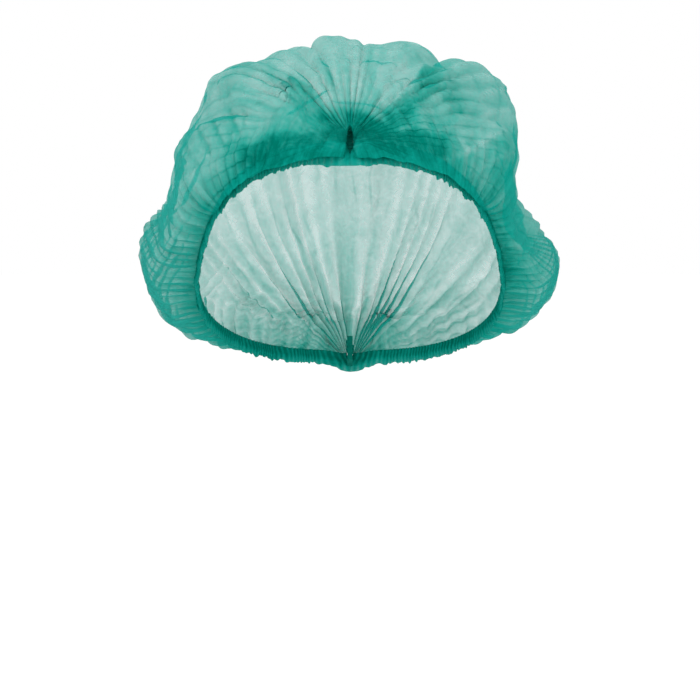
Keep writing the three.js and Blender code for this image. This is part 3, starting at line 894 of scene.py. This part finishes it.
# A hem: a closed tube of gathered cloth along one side of the opening
def makeHem(side, name):
    steps = hemCloth["steps"]
    section = hemCloth["sectionPoints"]
    share = np.repeat(np.linspace(0, 1, steps + 1), section)
    around = np.tile(np.arange(section) * 2 * np.pi / section, steps + 1)
    alongMm = share * crownCloth["rimLength"]
    number = alongMm / hemCloth["gatherPitch"] + 1.2 * waves(alongMm / 14, 90 + side) + 0.3 * np.sin(around)
    strength = 0.65 + 0.45 * waves(number * 0.8, 95 + side)
    calm = smoothStep(0, 0.02, fromEnd(share))
    outer = 0.65 + 0.35 * np.cos(around)
    height = (1 + np.sin(around)) / 2
    pinch = 1 - hemCloth["pinch"] * bell(height - hemCloth["pinchHeight"], 0.16)
    pinch = pinch * (0.3 + 0.7 * smoothStep(0.05, 0.4, height))
    gather = hemCloth["gatherDepth"] * strength * calm * np.cos(2 * np.pi * number) * outer
    outward = hemCloth["middle"] + hemCloth["thickness"] / 2 * np.cos(around) * pinch + gather * pinch
    atEnd = bell(fromEnd(share), hemCloth["weldCoverSpan"])
    outward = outward + hemCloth["weldCover"] * atEnd
    outward = outward + hemCloth["edgeSway"] * calm * waves(number * 0.8, 97 + side) * (1 - height) ** 2
    ruffle = hemCloth["edgeRuffle"] * calm * waves(number * 1.7, 99 + side) * (1 - height)
    drop = hemCloth["weldDrop"] * atEnd + hemCloth["browDrop"] * smoothStep(*hemCloth["browSpan"], share)
    rise = capForm["hemWidth"] * height + ruffle - drop * (1 - height)
    slide = 0.5 * hemCloth["gatherDepth"] * strength * calm * np.sin(2 * np.pi * number) * outer
    points = rim(np.clip(share + slide / crownCloth["rimLength"], 0, 1), side, outward, rise)
    closing = (capForm["weldThickness"] / 2 + hemCloth["closing"]) * atEnd * smoothStep(0.8, 0.3, height)
    points = points - (side * closing)[:, None] * sideways
    quads = []
    for step in range(steps):
        for corner in range(section):
            a = step * section + corner
            b = step * section + (corner + 1) % section
            quads.append((a, b, b + section, a + section) if side > 0 else (a, a + section, b + section, b))
    first = tuple(range(section))
    last = tuple(steps * section + corner for corner in range(section))
    quads.append(first[::-1] if side > 0 else first)
    quads.append(last if side > 0 else last[::-1])
    shaped = bpy.data.meshes.new(name)
    shaped.from_pydata((points * mm).tolist(), [], quads)
    shaped.update()
    piece = bpy.data.objects.new(name, shaped)
    bpy.context.collection.objects.link(piece)
    atFoot, byHeight, byGathers = hemCloth["layers"]
    thickness = atFoot + byHeight * smoothStep(0.05, 0.5, height) + byGathers * np.cos(2 * np.pi * number)
    writeNumber(shaped, "clothLayersAndShade", np.clip(thickness, 0, 1))
    writeNumber(shaped, "atHem", np.ones(len(share)))
    writeNumber(shaped, "atWeld", np.zeros(len(share)))
    writeClothMap(shaped, alongMm * mm, capForm["hemWidth"] * height * mm)
    selectOnly(piece)
    bpy.ops.object.shade_smooth()
    print(name, "made:", len(shaped.polygons), "faces")
    return piece


def setSockets(node, **values):
    for name, value in values.items():
        node.inputs[name.replace("_", " ")].default_value = value
    return node


def addNode(nodes, kind, **values):
    return setSockets(nodes.new("ShaderNode" + kind), **values)


def newMaterial(name):
    material = bpy.data.materials.new(name)
    material.use_nodes = True
    return material, material.node_tree.nodes, material.node_tree.links


# Mixes two shaders by a share, and returns the mixed one
def mixed(nodes, links, share, first, second):
    mix = addNode(nodes, "MixShader")
    links.new(share, mix.inputs["Fac"])
    links.new(first, mix.inputs[1])
    links.new(second, mix.inputs[2])
    return mix.outputs[0]


# Nonwoven cloth: what a user would change
nonwoven = {
    "single": (0.05, 0.5, 0.44, 1),
    "layered": (0.004, 0.37, 0.30, 1),
    "layeredAt": 0.72,
    "gathered": (0.0, 0.2, 0.15, 1),
    "seeThrough": 0.56,  # of one layer
    "seeThroughFall": 2.0,  # how fast that goes as layers come together
    "glow": 0.35,
    "roughness": 0.8,
    "fibres": 900,  # noise scale
    "clumps": 190,
    "clouds": 38,
    "creasePitch": 0.0115,
    "creaseWidth": 0.14,  # as a share of that
    "crease": 0.16,
    "streaks": 0.5,
}


def makeNonwoven(name):
    material, nodes, links = newMaterial(name)
    nodes.clear()

    def maths(operation, first, second):
        made = addNode(nodes, "Math")
        made.operation = operation
        for socket, value in enumerate((first, second)):
            if isinstance(value, (int, float)):
                made.inputs[socket].default_value = value
            else:
                links.new(value, made.inputs[socket])
        return made.outputs[0]

    def noise(vector, scale, detail, distortion):
        made = addNode(nodes, "TexNoise", Scale=scale, Detail=detail, Roughness=0.6, Distortion=distortion)
        links.new(vector, made.inputs["Vector"])
        return made.outputs["Fac"]

    def attribute(called):
        made = addNode(nodes, "Attribute")
        made.attribute_name = called
        return made.outputs["Fac"]

    def stretched(vector, along, across):
        made = addNode(nodes, "Mapping", Scale=(along, across, 1))
        links.new(vector, made.inputs["Vector"])
        return made.outputs["Vector"]

    output = addNode(nodes, "OutputMaterial")
    coordinates = addNode(nodes, "TexCoord").outputs["Object"]
    clothMap = addNode(nodes, "UVMap")
    clothMap.uv_map = "cloth"

    # Fibres lie in all directions, in soft clumps
    fibres = noise(coordinates, nonwoven["fibres"], 3.0, 2.0)
    clumps = noise(coordinates, nonwoven["clumps"], 4.0, 1.4)
    cloud = noise(coordinates, nonwoven["clouds"], 3.0, 0.4)

    # Creases of the strip's pleats run from weld to weld, and come and go
    split = addNode(nodes, "SeparateXYZ")
    links.new(clothMap.outputs["UV"], split.inputs[0])
    wander = maths("MULTIPLY", noise(coordinates, 20.0, 2.0, 0.0), 1.6)
    number = maths("ADD", maths("DIVIDE", split.outputs["Y"], nonwoven["creasePitch"]), wander)
    fromCrease = maths("PINGPONG", number, 0.5)
    crease = addNode(nodes, "MapRange", From_Max=nonwoven["creaseWidth"], To_Min=1.0, To_Max=0.0)
    crease.interpolation_type = "SMOOTHSTEP"
    links.new(fromCrease, crease.inputs["Value"])
    presence = addNode(nodes, "MapRange", From_Min=0.46, From_Max=0.66)
    links.new(noise(coordinates, 26.0, 1.0, 0.0), presence.inputs["Value"])
    creases = maths("MULTIPLY", crease.outputs["Result"], presence.outputs["Result"])

    # Streaks run out of the welds and in from the hems
    weldStreaks = noise(stretched(clothMap.outputs["UV"], 20, 520), 1.0, 3.0, 0.3)
    hemStreaks = noise(stretched(clothMap.outputs["UV"], 620, 45), 1.0, 3.0, 0.3)
    atWeld = maths("MULTIPLY", maths("SUBTRACT", weldStreaks, 0.5), attribute("atWeld"))
    atHem = maths("MULTIPLY", maths("SUBTRACT", hemStreaks, 0.5), attribute("atHem"))
    streaks = maths("MULTIPLY", maths("ADD", atWeld, atHem), nonwoven["streaks"])

    uneven = maths("ADD", maths("MULTIPLY", clumps, 0.35), maths("MULTIPLY", cloud, 0.3))
    # How thickly the cloth lies; on the crown this also holds painted highlight and painted shade
    amount = maths("ADD", attribute("clothLayersAndShade"), maths("SUBTRACT", uneven, 0.325))
    amount = maths("ADD", amount, maths("MULTIPLY", creases, nonwoven["crease"]))
    clamped = addNode(nodes, "Clamp")
    links.new(maths("ADD", amount, streaks), clamped.inputs["Value"])
    amount = clamped.outputs[0]

    colour = addNode(nodes, "ValToRGB")
    colour.color_ramp.elements[0].color = nonwoven["single"]
    colour.color_ramp.elements[1].color = nonwoven["gathered"]
    middle = colour.color_ramp.elements.new(nonwoven["layeredAt"])
    middle.color = nonwoven["layered"]
    links.new(amount, colour.inputs[0])

    cloth = addNode(nodes, "BsdfPrincipled", Roughness=nonwoven["roughness"], Specular_IOR_Level=0)
    links.new(colour.outputs[0], cloth.inputs["Base Color"])
    glow = addNode(nodes, "BsdfTranslucent")
    links.new(colour.outputs[0], glow.inputs["Color"])
    lit = addNode(nodes, "MixShader", Fac=nonwoven["glow"])
    links.new(cloth.outputs[0], lit.inputs[1])
    links.new(glow.outputs[0], lit.inputs[2])

    relief = addNode(nodes, "Bump", Strength=0.35, Distance=0.0004)
    links.new(fibres, relief.inputs["Height"])
    soft = addNode(nodes, "Bump", Strength=0.4, Distance=0.001)
    folds = maths("MULTIPLY", maths("ADD", streaks, creases), 1.2)
    links.new(maths("ADD", clumps, folds), soft.inputs["Height"])
    links.new(relief.outputs[0], soft.inputs["Normal"])
    links.new(soft.outputs[0], cloth.inputs["Normal"])

    openness = maths("POWER", maths("SUBTRACT", 1.0, amount), nonwoven["seeThroughFall"])
    gaps = maths("MULTIPLY", openness, nonwoven["seeThrough"])
    through = addNode(nodes, "BsdfTransparent")
    seen = mixed(nodes, links, gaps, lit.outputs[0], through.outputs[0])
    links.new(seen, output.inputs["Surface"])
    return material


# The welded bars: cloth pressed and fused and a little glossy, with a dark colour that is partly the fused
# cloth's own and partly painted shade of the slit each sits in
weldedInShade = {"colour": (0.0, 0.085, 0.064, 1), "paler": 2.2, "roughness": 0.75, "shine": 0.06, "pressed": 700}


def makeWelded():
    material, nodes, links = newMaterial("welded_cloth")
    cloth = setSockets(
        nodes["Principled BSDF"], Roughness=weldedInShade["roughness"], Specular_IOR_Level=weldedInShade["shine"]
    )
    press = addNode(nodes, "TexNoise", Scale=weldedInShade["pressed"])
    links.new(addNode(nodes, "TexCoord").outputs["Object"], press.inputs["Vector"])
    shade = addNode(nodes, "Mix")
    shade.data_type = "RGBA"
    # The dark colour is partly painted shade of the narrow slit round the weld
    shade.inputs[6].default_value = weldedInShade["colour"]
    shade.inputs[7].default_value = [value * weldedInShade["paler"] for value in weldedInShade["colour"][:3]] + [1]
    links.new(press.outputs["Fac"], shade.inputs[0])
    links.new(shade.outputs[2], cloth.inputs["Base Color"])
    relief = addNode(nodes, "Bump", Strength=0.5, Distance=0.0004)
    links.new(press.outputs["Fac"], relief.inputs["Height"])
    links.new(relief.outputs[0], cloth.inputs["Normal"])
    return material


crownPiece = makeCrown()
rightHem = makeHem(-1, "right_hem_cloth")
leftHem = makeHem(1, "left_hem_cloth")
crownPiece.data.materials.append(makeNonwoven("crown_nonwoven"))
hemMaterial = makeNonwoven("hem_nonwoven")
for hem in (rightHem, leftHem):
    hem.data.materials.append(hemMaterial)
weldedMaterial = makeWelded()
for weld in ("front_weld", "back_weld"):
    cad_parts[weld].data.materials.clear()
    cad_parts[weld].data.materials.append(weldedMaterial)
print("materials made")

for piece, node, slot in (
    (crownPiece, "crown", "crown_cloth"),
    (rightHem, "right_hem", "hem_cloth"),
    (leftHem, "left_hem", "hem_cloth"),
):
    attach(piece, "root")
    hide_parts(node)

# The studio: a pale floor under a white sky, and soft lamps
studio = {
    "floorDrop": 0.26,
    "floorSize": 60,
    "floorPaint": (0.93, 0.93, 0.92, 1),
    "floorWhite": 0.9,  # how far the floor melts into the white behind it
    "floorGlow": 1.07,
    "sky": 0.72,
    "keyPower": 9.5,
    "backPower": 4,
    "fillPower": 11,
}


def makeFloor():
    bpy.ops.object.select_all(action="DESELECT")
    bpy.ops.mesh.primitive_plane_add(size=studio["floorSize"], location=(0, 0, -studio["floorDrop"]))
    floor = bpy.context.object
    floor.name = "floor"
    material, nodes, links = newMaterial("floor_paint")
    paint = setSockets(nodes["Principled BSDF"], Base_Color=studio["floorPaint"], Roughness=0.9)
    white = addNode(nodes, "Emission", Strength=studio["floorGlow"])
    share = addNode(nodes, "Math")
    share.operation = "MULTIPLY"
    share.inputs[1].default_value = studio["floorWhite"]
    links.new(addNode(nodes, "LightPath").outputs["Is Camera Ray"], share.inputs[0])
    choice = mixed(nodes, links, share.outputs[0], paint.outputs[0], white.outputs[0])
    links.new(choice, nodes["Material Output"].inputs["Surface"])
    floor.data.materials.append(material)


def addLamp(name, place, aim, size, power):
    lamp = bpy.data.lights.new(name, "AREA")
    lamp.size = size
    lamp.energy = power
    holder = bpy.data.objects.new(name, lamp)
    bpy.context.collection.objects.link(holder)
    holder.location = place
    holder.rotation_euler = (Vector(aim) - Vector(place)).to_track_quat("-Z", "Y").to_euler()


def makeLight():
    world = bpy.context.scene.world or bpy.data.worlds.new("sky")
    bpy.context.scene.world = world
    world.use_nodes = True
    nodes = world.node_tree.nodes
    links = world.node_tree.links
    sky = setSockets(nodes["Background"], Color=(1, 1, 1, 1), Strength=studio["sky"])
    seenSky = addNode(nodes, "Background", Color=(1, 1, 1, 1))
    seen = addNode(nodes, "LightPath").outputs["Is Camera Ray"]
    choice = mixed(nodes, links, seen, sky.outputs[0], seenSky.outputs[0])
    links.new(choice, nodes["World Output"].inputs["Surface"])
    middle = (0, 0.02, 0.04)
    addLamp("key", (-0.5, -1.0, 1.2), middle, 0.9, studio["keyPower"])
    addLamp("back", (0.3, 1.1, 1.0), middle, 0.9, studio["backPower"])
    addLamp("fill", (0.5, -1.5, -0.12), middle, 1.2, studio["fillPower"])
    bpy.context.scene.view_settings.view_transform = "Standard"


def makeCamera():
    camera = bpy.data.cameras.new("camera")
    camera.sensor_width = view["sensor"]
    camera.lens = view["sensor"] * view["distance"] / (view["pixel"] * view["pixels"])
    camera.clip_start = 0.05
    holder = bpy.data.objects.new("camera", camera)
    bpy.context.collection.objects.link(holder)
    aim = Vector((0, 0, view["centreHeight"]))
    rise = math.radians(view["rise"])
    holder.location = aim + view["distance"] * Vector((0, -math.cos(rise), math.sin(rise)))
    holder.rotation_euler = (aim - holder.location).to_track_quat("-Z", "Y").to_euler()
    bpy.context.scene.camera = holder


makeFloor()
makeLight()
makeCamera()
print("studio made")
